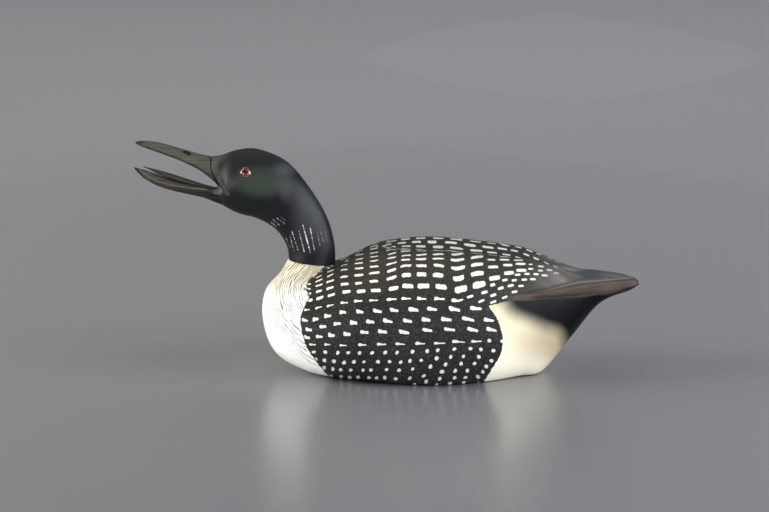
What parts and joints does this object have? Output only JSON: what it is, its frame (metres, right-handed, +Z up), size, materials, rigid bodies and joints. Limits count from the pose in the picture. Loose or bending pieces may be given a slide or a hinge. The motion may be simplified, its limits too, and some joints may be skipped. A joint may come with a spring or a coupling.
{
  "type": "loon decoy",
  "caption": "Carved and painted wooden loon decoy in a calling pose, with glass eyes, an open bill and a flat underside that it stands on.",
  "frame": {"origin": "on the ground under the middle of the decoy", "axes": "+Z up, -X towards the bill's tip, +X towards the tail, -Y the bird's left side"},
  "size_m": [0.62, 0.216, 0.288],
  "materials": {
    "body_paint": "satin oil paint on carved wood, black and white",
    "head_paint": "satin oil paint on carved wood, black with a dark green cheek and a grey-brown bill",
    "tongue_paint": "satin dark brown paint on carved wood",
    "eye_glass": "polished domed glass over red and black enamel"
  },
  "bodies": {
    "root": {"body": "body_paint", "head": "head_paint", "tongue": "tongue_paint", "eye_left": "eye_glass", "eye_right": "eye_glass"}
  },
  "joints": []
}
